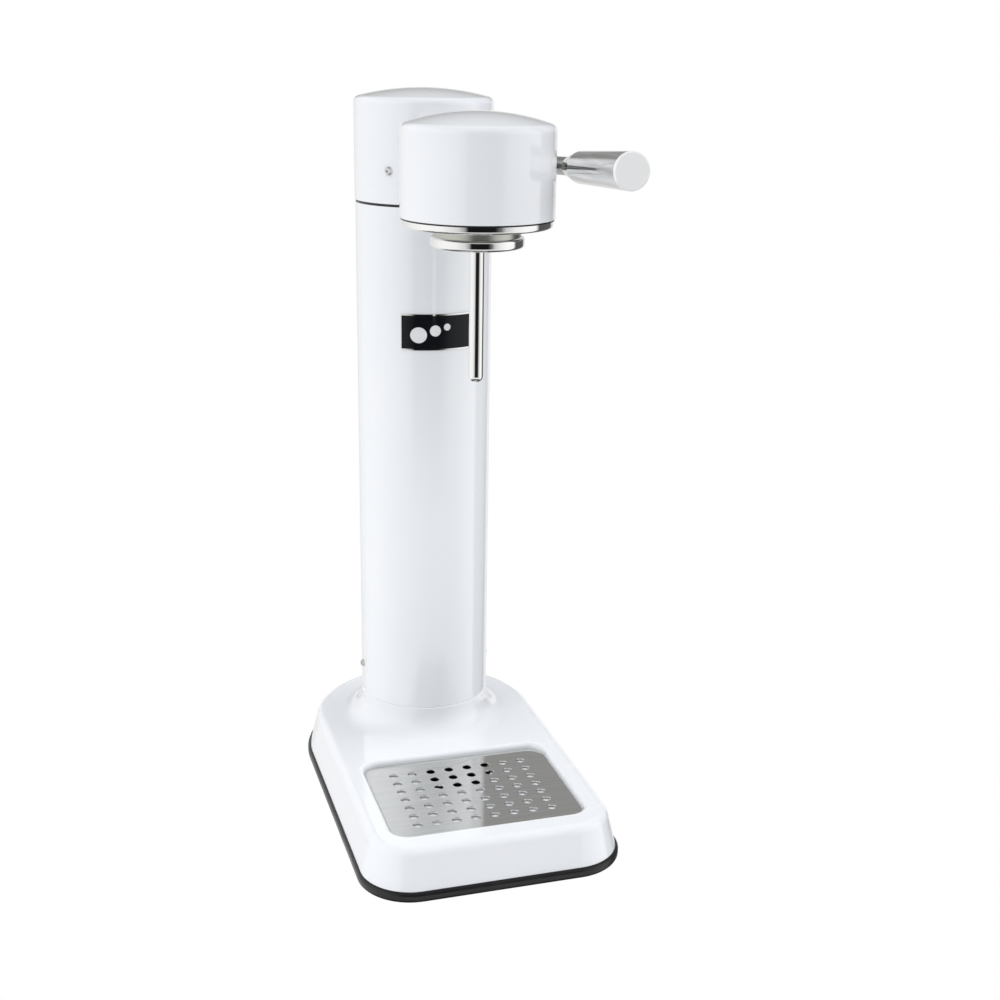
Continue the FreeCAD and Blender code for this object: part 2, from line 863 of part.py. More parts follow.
def make_base_collar():
    """Ring screwed under the deck that stands up inside the column and holds it."""
    deck = "deck_height - housing_wall"
    flange = f"{deck} - collar_flange_thickness"
    body = turned("base_collar", [
        ("spigot_bore", flange),
        ("spigot_radius + collar_flange_width", flange),
        ("spigot_radius + collar_flange_width", deck),
        ("spigot_radius", deck),
        ("spigot_radius", "lower_screw_height + spigot_overlap"),
        ("spigot_bore", "lower_screw_height + spigot_overlap"),
    ], COLUMN_AXIS)
    holes = sketch_on(body, "XY", deck)
    for across, along in COLLAR_SCREW_PLACES:
        circle(holes, across, f"{along} - column_y", "screw_hole")
    pocket(body, holes, "collar_flange_thickness")
    side_holes(body)
    keep(body)
    places = [(across, along, flange) for across, along in COLLAR_SCREW_PLACES]
    screws("collar_screws", places, "0", "collar_screw_length", DOWN)
    place = ("0", "column_y", "lower_screw_height")
    members = [
        button_screw(f"column_screw_{side}", "column_radius + running_fit", "side_screw_length", place, way)
        for side, way in (("left", LEFT), ("right", RIGHT))
    ]
    group("column_screws", members)


FRAME_SCREW_PLACES = (
    mirrored("frame_screw_offset", "column_y - frame_screw_offset")
    + mirrored("frame_screw_offset", "column_y + frame_screw_offset")
)


def make_top_collar():
    """Ring inside the column's top that carries the cap and the inner frame."""
    top = "cap_screw_height + top_collar_rise"
    ledge = "frame_low - frame_ledge_thickness"
    body = turned("top_collar", [
        ("top_collar_bore", "column_top - top_collar_reach"),
        ("spigot_radius", "column_top - top_collar_reach"),
        ("spigot_radius", top),
        ("top_collar_bore", top),
        ("top_collar_bore", "frame_low"),
        ("frame_ledge_bore", "frame_low"),
        ("frame_ledge_bore", ledge),
        ("top_collar_bore", ledge),
    ], COLUMN_AXIS)
    gap = sketch_on(body, "XY", top)
    outline(gap, [
        ("- bridge_half_width", "- cap_radius"),
        ("bridge_half_width", "- cap_radius"),
        ("bridge_half_width", "0"),
        ("- bridge_half_width", "0"),
    ])
    pocket(body, gap, f"{top} - frame_low")
    cap_screw_holes(body, "0")
    threads = sketch_on(body, "XY", "frame_low")
    for across, along in FRAME_SCREW_PLACES:
        circle(threads, across, f"{along} - column_y", "screw_hole")
    pocket(body, threads, "frame_ledge_thickness")
    keep(body)


def cap_screw_holes(body, axis_height):
    """Drill for the two screws that hold the cap, left and right of the bridge."""
    for turn in (amount("cap_screw_angle"), -amount("cap_screw_angle")):
        hole = sketch_on(body, "XZ", axis_height, turn)
        circle(hole, "0", "cap_screw_height", "screw_hole")
        pocket(body, hole, "cap_radius + cut_margin", upward=True)


# ---------------------------------------------------------------- upper housing


def make_upper_housing():
    """White casting: domed cap over the column, domed head in front, hollow bridge between."""
    body = new_body("upper_housing")
    domes = (
        ("column_y", "cap_radius", "seam_height", "cap_edge", "cap_apex", "dome_radius"),
        ("head_y", "head_radius", "head_bottom", "head_edge", "head_apex", "head_dome_radius"),
    )
    for axis_y, radius, low, edge, apex, dome in domes:
        sketch = sketch_on(body, "XZ", f"- {axis_y}")
        outline(sketch, [("0", low), (radius, low), (radius, edge), ("0", apex, dome, 1)])
        revolve(body, sketch)
        if axis_y == "column_y":
            round_edges(body, "cap_edge_round", flat_at(amount(edge)))
            bridge = sketch_on(body, "XY", "bridge_bottom")
            outline(bridge, [
                ("- bridge_half_width", "head_y + bridge_reach"),
                ("bridge_half_width", "head_y + bridge_reach"),
                ("bridge_half_width", "column_y - bridge_reach"),
                ("- bridge_half_width", "column_y - bridge_reach"),
            ])
            pad(body, bridge, "bridge_top - bridge_bottom")
            round_edges(body, "bridge_round", is_bridge_ridge)
    round_edges(body, "dome_edge_round", flat_at(amount("head_edge")))

    for axis_y, radius, low, edge, apex, dome in domes:
        inner = f"{radius} - cap_radius + cap_bore"
        roof = sketch_on(body, "XZ", f"- {axis_y}")
        outline(roof, [
            ("0", f"{low} - cut_margin"),
            (inner, f"{low} - cut_margin"),
            (inner, f"{edge} - roof_thickness"),
            ("0", f"{edge} - roof_thickness + roof_crown"),
        ])
        groove(body, roof)
    passage = sketch_on(body, "XY", "bridge_top - bridge_wall")
    outline(passage, [
        ("bridge_wall - bridge_half_width", "head_y"),
        ("bridge_half_width - bridge_wall", "head_y"),
        ("bridge_half_width - bridge_wall", "column_y"),
        ("bridge_wall - bridge_half_width", "column_y"),
    ])
    pocket(body, passage, "bridge_top - bridge_bottom - bridge_wall - bridge_wall")
    shaft_hole = sketch_on(body, "YZ", "bridge_half_width")
    circle(shaft_hole, "shaft_y", "shaft_z", "bush_radius + running_fit")
    pocket(body, shaft_hole, "bridge_wall + cut_margin")
    cap_screw_holes(body, "- column_y")
    keep(body)
    members = []
    for side, sign in (("left", -1), ("right", 1)):
        angle = math.radians(amount("cap_screw_angle")) * sign
        outward = Vector(math.sin(angle), -math.cos(angle), 0)
        place = ("0", "column_y", "cap_screw_height")
        seat = "cap_radius + running_fit"
        members.append(button_screw(f"cap_screw_{side}", seat, "side_screw_length", place, outward))
    group("cap_screws", members)


def is_bridge_ridge(edge):
    """True for the two long upper edges of the bridge."""
    box = edge.BoundBox
    runs_along = box.YLength > amount("bridge_round") and box.XLength < LEVEL_TOLERANCE
    return runs_along and flat_at(amount("bridge_top"))(edge)


# ---------------------------------------------------------------- head underside


def make_head_underside():
    """Black seal, chrome ring, bottle socket, nozzle block and the carbonation tube."""
    keep(ring("head_gasket", "gasket_radius", "gasket_bore", "ring_top", "head_bottom", HEAD_AXIS))
    plate = ring("head_ring", "ring_radius", "ring_bore", "ring_bottom", "ring_top", HEAD_AXIS)
    round_edges(plate, "ring_edge_round", outer_circle(amount("ring_radius"), amount("ring_bottom")))
    keep(plate)
    socket = turned("bottle_socket", [
        ("socket_bore", "socket_bottom"),
        ("socket_radius", "socket_bottom"),
        ("socket_radius", "socket_step"),
        ("socket_neck_radius", "socket_step"),
        ("socket_neck_radius", "ring_bottom"),
        ("socket_thread_radius", "ring_bottom"),
        ("socket_thread_radius", "block_bottom"),
        ("socket_bore", "block_bottom"),
    ], HEAD_AXIS)
    for height in ("socket_bottom", "socket_step"):
        round_edges(socket, "socket_edge_round", outer_circle(amount("socket_radius"), amount(height)))
    keep(socket)
    seal_low = "block_bottom - seal_thickness"
    keep(ring("socket_seal", "socket_bore - loose_fit", "seal_bore", seal_low, "block_bottom", HEAD_AXIS))
    flange_top = "block_bottom + block_flange_thickness"
    block = turned("nozzle_block", [
        ("tube_bore", seal_low),
        ("seal_bore - loose_fit", seal_low),
        ("seal_bore - loose_fit", "block_bottom"),
        ("block_flange_radius", "block_bottom"),
        ("block_flange_radius", flange_top),
        ("receiver_radius", flange_top),
        ("receiver_radius", "block_top"),
        ("tube_bore", "block_top"),
    ], HEAD_AXIS)
    gas_port = sketch_on(block, "XY", "block_top")
    circle(gas_port, "- hose_offset", "hose_setback", "hose_bore")
    pocket(block, gas_port, "block_port_depth")
    keep(block)
    tip_top = "tube_tip + tip_length"
    keep(ring("carbonation_tube", "tube_radius", "tube_bore", tip_top, seal_low, HEAD_AXIS))
    keep(turned("nozzle_tip", [
        ("tip_hole", "tube_tip"),
        ("tube_radius - tip_round", "tube_tip"),
        ("tube_radius", "tube_tip + tip_round", "tip_round", 1),
        ("tube_radius", tip_top),
        ("tip_hole", tip_top),
    ], HEAD_AXIS))


def make_relief_valve():
    """Spring-loaded safety valve on top of the nozzle block."""
    seat = "block_top + relief_floor"
    rim = "block_top + relief_height"
    keep(turned("relief_body", [
        ("relief_hole", "block_top"),
        ("relief_radius", "block_top"),
        ("relief_radius", rim),
        ("relief_bore", rim),
        ("relief_bore", seat),
        ("relief_hole", seat),
    ], HEAD_AXIS))
    lid = f"{rim} + relief_cap_thickness"
    keep(ring("relief_cap", "relief_radius", "relief_stem_radius + running_fit", rim, lid, HEAD_AXIS))
    disc_low = f"{seat} + running_fit"
    disc_high = f"{disc_low} + relief_disc_thickness"
    keep(turned("relief_poppet", [
        ("0", disc_low),
        ("relief_disc_radius", disc_low),
        ("relief_disc_radius", disc_high),
        ("relief_stem_radius", disc_high),
        ("relief_stem_radius", "block_top + relief_stem_height"),
        ("0", "block_top + relief_stem_height"),
    ], HEAD_AXIS))
    wire_spring(
        "relief_spring", "head_y", "block_top + relief_spring_low", "block_top + relief_spring_high",
        "relief_spring_radius", RELIEF_SPRING_TURNS,
    )


# ---------------------------------------------------------------- inner works


def make_inner_frame():
    """Steel plate through the bridge that carries the receiver and the nozzle block."""
    body = new_body("inner_frame")
    plate = sketch_on(body, "XY", "frame_low")
    circle(plate, "0", "column_y", "frame_radius")
    pad(body, plate, "frame_high - frame_low")
    front = sketch_on(body, "XY", "frame_low")
    circle(front, "0", "head_y", "frame_head_radius")
    pad(body, front, "frame_high - frame_low")
    web = sketch_on(body, "XY", "frame_low")
    outline(web, [
        ("- frame_web_half_width", "head_y"),
        ("frame_web_half_width", "head_y"),
        ("frame_web_half_width", "column_y"),
        ("- frame_web_half_width", "column_y"),
    ])
    pad(body, web, "frame_high - frame_low")
    openings = sketch_on(body, "XY", "frame_high")
    circle(openings, "0", "column_y", "receiver_radius + loose_fit")
    circle(openings, "0", "head_y", "receiver_radius + loose_fit")
    circle(openings, "0", "guide_y", "guide_radius")
    for across, along in FRAME_SCREW_PLACES:
        circle(openings, across, along, "screw_hole")
    pocket(body, openings, "frame_high - frame_low")
    keep(body)
    places = [(across, along, "frame_high") for across, along in FRAME_SCREW_PLACES]
    screws("frame_screws", places, "0", "frame_screw_length", UP)
    post_top = "bridge_top - bridge_wall - cut_margin"
    keep(rod("guide_post", "guide_radius", "frame_low", post_top, ("0", "guide_y", "0")))


def make_gas_cylinder():
    """Gas cylinder with its valve, and the pin that opens the valve."""
    bottom = "cylinder_bottom"
    inner = "cylinder_radius - cylinder_wall"
    keep(turned("gas_cylinder", [
        ("0", bottom),
        ("cylinder_radius - cylinder_foot_round", bottom),
        ("cylinder_radius", f"{bottom} + cylinder_foot_round", "cylinder_foot_round", 1),
        ("cylinder_radius", "cylinder_shoulder"),
        ("cylinder_neck", "cylinder_shoulder + shoulder_round", "shoulder_round", 1),
        ("cylinder_neck", "neck_top"),
        ("neck_bore", "neck_top"),
        ("neck_bore", "cylinder_shoulder + shoulder_round - shoulder_wall"),
        (inner, "cylinder_shoulder - shoulder_wall"),
        (inner, f"{bottom} + cylinder_foot_round"),
        ("0", f"{bottom} + cylinder_floor"),
    ], COLUMN_AXIS))
    pin_hole = "valve_pin_radius + running_fit"
    keep(turned("cylinder_valve", [
        (pin_hole, "neck_top"),
        ("valve_body_radius", "neck_top"),
        ("valve_body_radius", "valve_body_top"),
        ("valve_thread_radius", "valve_body_top"),
        ("valve_thread_radius", "valve_top"),
        ("valve_mouth_radius", "valve_top"),
        ("valve_mouth_radius", "valve_top - valve_mouth_depth"),
        (pin_hole, "valve_top - valve_mouth_depth"),
    ], COLUMN_AXIS))
    keep(rod("valve_pin", "valve_pin_radius", "valve_pin_low", "valve_pin_high", COLUMN_AXIS))


def make_receiver():
    """Brass receiver that the cylinder's valve screws up into, with its face seal."""
    bore = "valve_thread_radius + running_fit"
    guide = "actuator_radius + running_fit"
    body = turned("cylinder_receiver", [
        (bore, "receiver_bottom"),
        ("receiver_radius", "receiver_bottom"),
        ("receiver_radius", "frame_high"),
        ("receiver_flange_radius", "frame_high"),
        ("receiver_flange_radius", "receiver_flange_top"),
        ("gland_radius", "receiver_flange_top"),
        ("gland_radius", "gland_top"),
        (guide, "gland_top"),
        (guide, "frame_high"),
        ("gas_chamber_radius", "frame_high"),
        ("gas_chamber_radius", "face_seal_high"),
        (bore, "face_seal_high"),
    ], COLUMN_AXIS)
    gas_port = sketch_on(body, "XY", "receiver_flange_top")
    circle(gas_port, "- hose_offset", "- hose_setback", "hose_bore")
    pocket(body, gas_port, "receiver_port_depth")
    keep(body)
    seal_bore = "gas_chamber_radius + loose_fit"
    keep(ring("receiver_seal", bore, seal_bore, "face_seal_low", "face_seal_high", COLUMN_AXIS))


def make_valve_drive():
    """Yoke that the crank pulls down, its pin onto the valve, and the return spring."""
    yoke = new_body("press_yoke")
    side = sketch_on(yoke, "YZ", "- yoke_half_width")
    outline(side, [
        ("tongue_front", "tongue_low"),
        ("tongue_back", "tongue_low"),
        ("tongue_back", "yoke_low"),
        ("column_y", "yoke_low"),
        ("column_y", "yoke_high"),
        ("tongue_front", "yoke_high"),
    ])
    pad(yoke, side, "yoke_half_width + yoke_half_width")
    hubs = sketch_on(yoke, "XY", "yoke_low")
    circle(hubs, "0", "column_y", "yoke_hub_radius")
    circle(hubs, "0", "guide_y", "guide_hub_radius")
    pad(yoke, hubs, "yoke_high - yoke_low")
    guide = sketch_on(yoke, "XY", "yoke_high")
    circle(guide, "0", "guide_y", "guide_radius + running_fit")
    pocket(yoke, guide, "yoke_high - yoke_low")
    slot = sketch_on(yoke, "YZ", "yoke_half_width")
    reach = "crank_pin_radius + slot_fit"
    height = "shaft_z + crank_rise"
    front = "shaft_y - crank_run - slot_shift - slot_half_travel"
    back = "shaft_y - crank_run - slot_shift + slot_half_travel"
    outline(slot, [
        (back, f"{height} {minus(reach)}"),
        (f"{back} + {reach}", height, reach, 1),
        (back, f"{height} + {reach}", reach, 1),
        (front, f"{height} + {reach}"),
        (f"{front} {minus(reach)}", height, reach, 1),
        (front, f"{height} {minus(reach)}", reach, 1),
    ])
    pocket(yoke, slot, "yoke_half_width + yoke_half_width")
    keep(yoke)
    keep(rod("actuator_pin", "actuator_radius", "actuator_low", "yoke_low", COLUMN_AXIS))
    wire_spring(
        "valve_spring", "column_y", "gland_top + running_fit", "yoke_low - running_fit",
        "valve_spring_radius", VALVE_SPRING_TURNS,
    )


# ---------------------------------------------------------------- lever


SHAFT_AXIS = ("0", "shaft_y", "shaft_z")
GRIP_AXIS = ("lever_reach", "shaft_y", "shaft_z")


def grip_direction():
    """The way the grip points: forward and a little upward."""
    rise = math.radians(amount("lever_rise"))
    return Vector(0, -math.cos(rise), math.sin(rise))


def make_lever():
    """Bent steel rod out of the bridge, its grip, and the crank that drives the yoke."""
    bent = new_body("lever_rod", SHAFT_AXIS, grip_direction())
    path = sketch_on(bent, "XZ")
    outline(path, [
        ("crank_inner", "0"),
        ("lever_reach - lever_bend", "0"),
        ("lever_reach", "lever_bend", "lever_bend", 1),
        ("lever_reach", "grip_start + rod_in_grip"),
    ], closed=False)
    section = sketch_on(bent, "YZ", "crank_inner")
    circle(section, "0", "0", "rod_radius")
    pipe = bent.newObject("PartDesign::AdditivePipe", "lever_rod_pipe")
    pipe.Profile = section
    pipe.Spine = (path, [f"Edge{number}" for number in (1, 2, 3)])
    settled(pipe)
    keep(bent)

    bore = "rod_radius + press_fit"
    bore_end = "grip_start + rod_in_grip + bore_end_gap"
    keep(turned("lever_grip", [
        (bore, "flare_start"),
        ("rod_radius + neck_lip", "flare_start"),
        ("grip_near_radius - shoulder_bevel", "grip_start - shoulder_run"),
        ("grip_near_radius", "grip_start"),
        ("grip_far_radius", "grip_end - end_cap_thickness"),
        ("0", "grip_end - end_cap_thickness"),
        ("0", bore_end),
        (bore, bore_end),
    ], GRIP_AXIS, grip_direction()))
    keep(turned("grip_end_cap", [
        ("0", "grip_end - end_cap_thickness"),
        ("grip_far_radius", "grip_end - end_cap_thickness"),
        ("grip_far_radius", "grip_end - end_cap_bevel"),
        ("grip_far_radius - end_cap_bevel", "grip_end"),
        ("0", "grip_end"),
    ], GRIP_AXIS, grip_direction()))

    crank = new_body("crank_arm")
    tip_y, tip_z = "shaft_y - crank_run", "shaft_z + crank_rise"
    for across, height, radius in (
        ("shaft_y", "shaft_z", "crank_hub_radius"),
        (tip_y, tip_z, "crank_tip_radius"),
    ):
        disc = sketch_on(crank, "YZ", "crank_inner")
        circle(disc, across, height, radius)
        pad(crank, disc, "crank_outer - crank_inner")
    holes = sketch_on(crank, "YZ", "crank_outer")
    circle(holes, "shaft_y", "shaft_z", bore)
    circle(holes, tip_y, tip_z, "crank_pin_radius + press_fit")
    pocket(crank, holes, "crank_outer - crank_inner")
    keep(crank)
    pin_place = ("0", tip_y, tip_z)
    keep(rod("crank_pin", "crank_pin_radius", "- yoke_half_width", "crank_outer", pin_place, RIGHT))
    clip_inner = "crank_outer + shaft_clip_gap"
    clip_outer = f"{clip_inner} + shaft_clip_thickness"
    keep(ring("shaft_clip", "shaft_clip_radius", bore, clip_inner, clip_outer, SHAFT_AXIS, RIGHT))
    flange_end = "bridge_half_width + bush_flange_thickness"
    keep(turned("shaft_bush", [
        ("rod_radius + running_fit", "bush_inner_end"),
        ("bush_radius", "bush_inner_end"),
        ("bush_radius", "bridge_half_width"),
        ("bush_flange_radius", "bridge_half_width"),
        ("bush_flange_radius", flange_end),
        ("rod_radius + running_fit", flange_end),
    ], SHAFT_AXIS, RIGHT))


# ---------------------------------------------------------------- gas hose


RECEIVER_PORT = ("- hose_offset", "column_y - hose_setback")
NOZZLE_PORT = ("- hose_offset", "head_y + hose_setback")


def make_gas_hose():
    """Barbed fittings, the hose between them and its two clips."""
    ports = ((RECEIVER_PORT, "receiver_flange_top", "receiver"), (NOZZLE_PORT, "block_top", "nozzle"))
    for (across, along), low, owner in ports:
        keep(turned(f"{owner}_fitting", [
            ("fitting_bore", low),
            ("fitting_radius", low),
            ("fitting_radius", f"{low} + fitting_height"),
            ("hose_bore - press_fit", f"{low} + fitting_height"),
            ("hose_bore - press_fit", "barb_top"),
            ("fitting_bore", "barb_top"),
        ], (across, along, "0")))
    hose = new_body("gas_hose")
    path = sketch_on(hose, "YZ", "- hose_offset")
    begin, end = "column_y - hose_setback", "head_y + hose_setback"
    outline(path, [
        (begin, "hose_end"),
        (begin, "hose_run_height - hose_bend"),
        (f"{begin} - hose_bend", "hose_run_height", "hose_bend", 1),
        (f"{end} + hose_bend", "hose_run_height"),
        (end, "hose_run_height - hose_bend", "hose_bend", 1),
        (end, "hose_end"),
    ], closed=False)
    section = sketch_on(hose, "XY", "hose_end")
    circle(section, "- hose_offset", begin, "hose_radius")
    circle(section, "- hose_offset", begin, "hose_bore")
    pipe = hose.newObject("PartDesign::AdditivePipe", "gas_hose_pipe")
    pipe.Profile = section
    pipe.Spine = (path, [f"Edge{number}" for number in (1, 2, 3, 4, 5)])
    settled(pipe)
    keep(hose)
    clips = [
        ring(f"hose_clip_{number}", "hose_radius + hose_clip_wall", "hose_radius + press_fit",
             "hose_clip_low", "hose_clip_high", (across, along, "0"))
        for number, (across, along) in enumerate((RECEIVER_PORT, NOZZLE_PORT), start=1)
    ]
    group("hose_clips", clips)


# ---------------------------------------------------------------- badge


def make_badge():
    """Blank badge on the column's front: bright border, black plate, three plain bubbles."""
    layers = (
        ("badge_frame", "running_fit", "badge_frame_face", "0", "badge_angle"),
        ("badge_plate", "badge_plate_back", "badge_plate_face", "badge_border",
         "badge_angle - badge_border - badge_border"),
    )
    for name, inner, outer, inset, angle in layers:
        body = new_body(name, COLUMN_AXIS, spin=-90.0)
        profile = sketch_on(body, "XZ")
        low, high = f"badge_low + {inset}", f"badge_high {minus(inset)}"
        back, face = f"column_radius + {inner}", f"column_radius + {outer}"
        outline(profile, [(back, low), (face, low), (face, high), (back, high)])
        revolve(body, profile, angle)
        keep(body)
    solids = []
    for side in ("bubble_face", "bubble_back"):
        cylinder = doc.addObject("Part::Cylinder", f"{side}_cylinder")
        cylinder.setExpression("Radius", formula(f"column_radius + {side}"))
        cylinder.setExpression("Height", formula("badge_high"))
        solids.append(cylinder)
    skin = doc.addObject("Part::Cut", "bubble_skin")
    skin.Base, skin.Tool = solids
    drops = []
    for number, (across, up, radius) in enumerate(BUBBLES, start=1):
        drop = doc.addObject("Part::Cylinder", f"bubble_{number}")
        drop.Radius = radius
        drop.setExpression("Height", formula("column_radius + bubble_face + cut_margin"))
        drop.Placement = Placement(Vector(across, 0, 0), Rotation(UP, FORWARD))
        drop.setExpression("Placement.Base.z", formula(f"badge_low + {up}"))
        drops.append(drop)
    cutters = doc.addObject("Part::Compound", "bubble_cutters")
    cutters.Links = drops
    bubbles = doc.addObject("Part::Common", "badge_bubbles")
    bubbles.Label = "badge_bubbles"
    bubbles.Base = skin
    bubbles.Tool = cutters
    bubbles.setExpression("Placement.Base.y", formula("column_y"))
    keep(bubbles)


def main():
    make_base_rim()
    make_base_housing()
    make_floor_plate()
    make_base_fittings()
    make_drip_plate()
    make_drip_cup()
    make_column()
    make_base_collar()
    make_top_collar()
    make_upper_housing()
    make_head_underside()
    make_relief_valve()
    make_inner_frame()
    make_gas_cylinder()
    make_receiver()
    make_valve_drive()
    make_lever()
    make_gas_hose()
    make_badge()
    write_parts()


def write_parts():
    """Check every object, then write one STEP file for each piece."""
    doc.recompute()
    for item in doc.Objects:
        if "Invalid" in item.State or "Error" in item.State:
            raise ValueError(f"{item.Name} failed: {item.State}")
    for piece in subparts:
        if piece.Shape.isNull() or not piece.Shape.isValid():
            raise ValueError(f"{piece.Label} has no valid shape")
    os.makedirs("parts", exist_ok=True)
    for piece in subparts:
        piece.Shape.exportStep(os.path.join("parts", f"{piece.Label}.step"))


main()
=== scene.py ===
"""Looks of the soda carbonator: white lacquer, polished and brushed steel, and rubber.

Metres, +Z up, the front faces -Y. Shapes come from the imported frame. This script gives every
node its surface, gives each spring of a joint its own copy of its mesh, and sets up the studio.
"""

import json
import math

import bpy
from mathutils import Matrix, Vector


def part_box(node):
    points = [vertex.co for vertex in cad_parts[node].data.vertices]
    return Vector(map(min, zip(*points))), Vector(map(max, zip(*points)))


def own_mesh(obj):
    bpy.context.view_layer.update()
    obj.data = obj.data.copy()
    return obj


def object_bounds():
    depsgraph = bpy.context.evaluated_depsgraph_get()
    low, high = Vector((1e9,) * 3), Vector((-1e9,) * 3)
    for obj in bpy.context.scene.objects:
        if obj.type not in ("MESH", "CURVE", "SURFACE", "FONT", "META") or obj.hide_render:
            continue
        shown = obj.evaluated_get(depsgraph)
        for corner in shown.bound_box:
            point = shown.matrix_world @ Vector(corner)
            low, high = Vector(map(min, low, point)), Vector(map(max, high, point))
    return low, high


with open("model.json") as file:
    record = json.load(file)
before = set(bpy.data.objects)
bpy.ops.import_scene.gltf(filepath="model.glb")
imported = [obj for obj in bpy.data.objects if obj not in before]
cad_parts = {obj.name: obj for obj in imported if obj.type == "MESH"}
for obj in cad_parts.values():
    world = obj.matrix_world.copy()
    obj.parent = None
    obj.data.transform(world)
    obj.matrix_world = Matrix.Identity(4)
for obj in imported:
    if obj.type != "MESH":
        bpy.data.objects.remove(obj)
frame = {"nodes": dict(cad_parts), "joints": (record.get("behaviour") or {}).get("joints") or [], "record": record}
cad_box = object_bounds()

# ---------------------------------------------------------------- material building blocks

PRINCIPLED = "Principled BSDF"
MICRON = 0.000001

# Darkest and lightest flecks and brushed lines, as a share of the surface's own colour.
FLECK_DARK = 0.85
LINE_DARK = 0.93
LINE_LIGHT = 1.06

# Nearly all of a noise lies between these.
NOISE_LOW = 0.3
NOISE_HIGH = 0.7

# Sockets of a colour Mix node: several share a name, so they go by number.
MIX_FACTOR = 0
MIX_FROM = 6
MIX_TO = 7
MIXED = 2


def new_material(name, colour, roughness, metallic=0.0, **sockets):
    """A node material; further sockets are named in full with _ for each space."""
    material = bpy.data.materials.new(name)
    material.use_nodes = True
    shader = material.node_tree.nodes[PRINCIPLED]
    shader.inputs["Base Color"].default_value = (*colour, 1.0)
    shader.inputs["Metallic"].default_value = metallic
    shader.inputs["Roughness"].default_value = roughness
    for socket, value in sockets.items():
        shader.inputs[socket.replace("_", " ")].default_value = value
    return material


def add_node(material, kind, **inputs):
    """A further node; its inputs are named as in new_material."""
    node = material.node_tree.nodes.new(kind)
    for socket, value in inputs.items():
        node.inputs[socket.replace("_", " ")].default_value = value
    return node


def link(material, output, node, socket):
    """Join an output to a node's input in the material."""
    material.node_tree.links.new(output, node.inputs[socket])


def shader_of(material):
    """The node that makes the material's surface."""
    return material.node_tree.nodes[PRINCIPLED]


def grain(material, scale, detail=3.0, stretch=(1.0, 1.0, 1.0)):
    """Noise over the object; a stretch below one draws it out along that axis."""
    place = add_node(material, "ShaderNodeTexCoord")
    mapping = add_node(material, "ShaderNodeMapping", Scale=stretch)
    noise = add_node(material, "ShaderNodeTexNoise", Scale=scale, Detail=detail)
    link(material, place.outputs["Object"], mapping, "Vector")
    link(material, mapping.outputs["Vector"], noise, "Vector")
    return noise.outputs["Fac"]


def vary_roughness(material, factor, low, high):
    """Spread the usual span of a noise over the roughness from low to high."""
    spread = add_node(
        material, "ShaderNodeMapRange",
        From_Min=NOISE_LOW, From_Max=NOISE_HIGH, To_Min=low, To_Max=high,
    )
    link(material, factor, spread, "Value")
    link(material, spread.outputs["Result"], shader_of(material), "Roughness")


def vary_colour(material, factor, dark, light):
    """Spread the usual span of a noise over the colour from dark to light."""
    ramp = add_node(material, "ShaderNodeValToRGB")
    ramp.color_ramp.elements[0].position = NOISE_LOW
    ramp.color_ramp.elements[1].position = NOISE_HIGH
    ramp.color_ramp.elements[0].color = (*dark, 1.0)
    ramp.color_ramp.elements[1].color = (*light, 1.0)
    link(material, factor, ramp, "Fac")
    link(material, ramp.outputs["Color"], shader_of(material), "Base Color")


def add_bump(material, height, depth, strength):
    """Shade the surface as if it rose by up to depth metres."""
    bump = add_node(material, "ShaderNodeBump", Strength=strength, Distance=depth)
    link(material, height, bump, "Height")
    link(material, bump.outputs["Normal"], shader_of(material), "Normal")


# ---------------------------------------------------------------- materials


def white_lacquer():
    """Sprayed gloss lacquer with a faint orange peel."""
    material = new_material(
        "white_lacquer", (0.87, 0.885, 0.91), roughness=0.12,
        Coat_Weight=1.0, Coat_Roughness=0.03, IOR=1.5,
    )
    vary_colour(material, grain(material, 14.0, 2.0), (0.860, 0.877, 0.902), (0.878, 0.892, 0.914))
    vary_roughness(material, grain(material, 60.0, 4.0), 0.10, 0.15)
    add_bump(material, grain(material, 900.0, 1.0), 10 * MICRON, 0.15)
    return material


def black_rubber():
    """Moulded rubber, slightly shiny where it has been handled."""
    material = new_material("black_rubber", (0.008, 0.008, 0.009), roughness=0.34)
    vary_colour(material, grain(material, 90.0), (0.005, 0.005, 0.006), (0.012, 0.012, 0.014))
    vary_roughness(material, grain(material, 45.0), 0.24, 0.42)
    add_bump(material, grain(material, 2500.0, 2.0), 40 * MICRON, 0.5)
    return material


def black_lacquer():
    """Powder-coated plate."""
    material = new_material("black_lacquer", (0.02, 0.02, 0.022), roughness=0.5)
    vary_colour(material, grain(material, 50.0), (0.014, 0.014, 0.015), (0.028, 0.028, 0.030))
    vary_roughness(material, grain(material, 30.0), 0.40, 0.60)
    add_bump(material, grain(material, 1600.0, 2.0), 60 * MICRON, 0.6)
    return material


def polished_steel():
    """Mirror-polished steel with hairline wipe marks."""
    material = new_material("polished_steel", (0.86, 0.86, 0.85), metallic=1.0, roughness=0.05)
    vary_colour(material, grain(material, 25.0), (0.83, 0.83, 0.82), (0.90, 0.90, 0.89))
    vary_roughness(material, grain(material, 220.0, 5.0), 0.03, 0.08)
    add_bump(material, grain(material, 500.0, 2.0, (1.0, 1.0, 0.06)), 4 * MICRON, 0.3)
    return material


def brushed_steel(name, colour, stretch, smooth, rough, depth=10 * MICRON):
    """Steel brushed along the axis that stretch draws out; its gloss runs from smooth to rough."""
    material = new_material(name, colour, metallic=1.0, roughness=smooth, Anisotropic=0.5)
    dark = tuple(LINE_DARK * part for part in colour)
    light = tuple(min(1.0, LINE_LIGHT * part) for part in colour)
    lines = grain(material, 1800.0, 3.0, stretch)
    vary_colour(material, grain(material, 900.0, 3.0, stretch), dark, light)
    vary_roughness(material, lines, smooth, rough)
    add_bump(material, lines, depth, 0.4)
    return material


